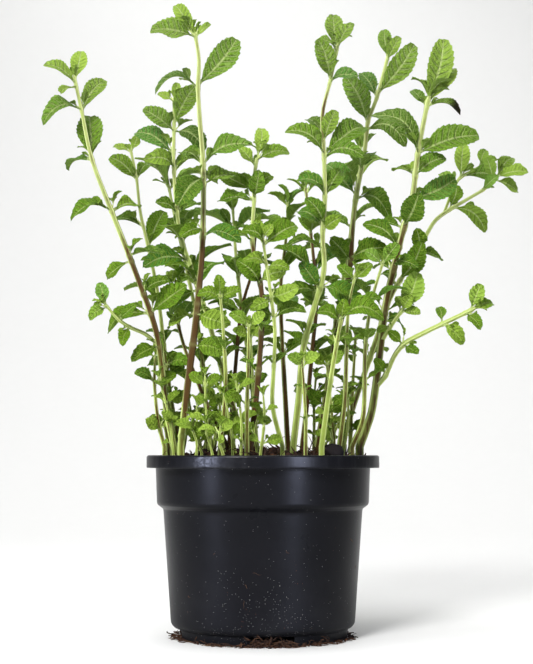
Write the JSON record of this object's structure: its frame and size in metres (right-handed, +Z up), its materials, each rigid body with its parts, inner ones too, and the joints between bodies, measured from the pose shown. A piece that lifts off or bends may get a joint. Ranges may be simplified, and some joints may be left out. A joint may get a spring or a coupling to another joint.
{
  "type": "potted mint plant",
  "caption": "Leafy mint plant of upright square stems with paired toothed leaves, growing in peat in a round black plastic pot with a skirted rim and a notched foot ring.",
  "frame": {"origin": "middle of the pot's foot, on the surface that it stands on", "axes": "+Z up along the pot's axis; +Y away from the side that shows the notch in the foot; +X to the right of that view"},
  "size_m": [0.2739, 0.1622, 0.3532],
  "materials": {
    "pot_plastic": "satin",
    "peat": "matte",
    "foliage": "satin"
  },
  "bodies": {
    "root": {"pot": "pot_plastic", "peat": "peat", "stem_far_left": "foliage", "stem_left_slim": "foliage", "stem_left_mid": "foliage", "stem_left_tall": "foliage", "stem_centre": "foliage", "stem_centre_slim": "foliage", "stem_right_mid": "foliage", "stem_right_brown": "foliage", "stem_right_thick": "foliage", "stem_right_arched": "foliage", "stem_right_tall": "foliage", "stem_far_right": "foliage", "stem_low_left": "foliage", "stem_left_leaning": "foliage", "stem_front_left": "foliage", "stem_reddish": "foliage", "stem_front": "foliage", "stem_back_mid": "foliage", "stem_front_right": "foliage", "stem_right_short": "foliage", "stem_right_low": "foliage", "stem_right_slim": "foliage", "stem_back_left": "foliage", "stem_back": "foliage", "stem_back_right": "foliage", "stem_left_inner": "foliage", "stem_centre_thin": "foliage", "stem_right_thin": "foliage"}
  },
  "joints": []
}
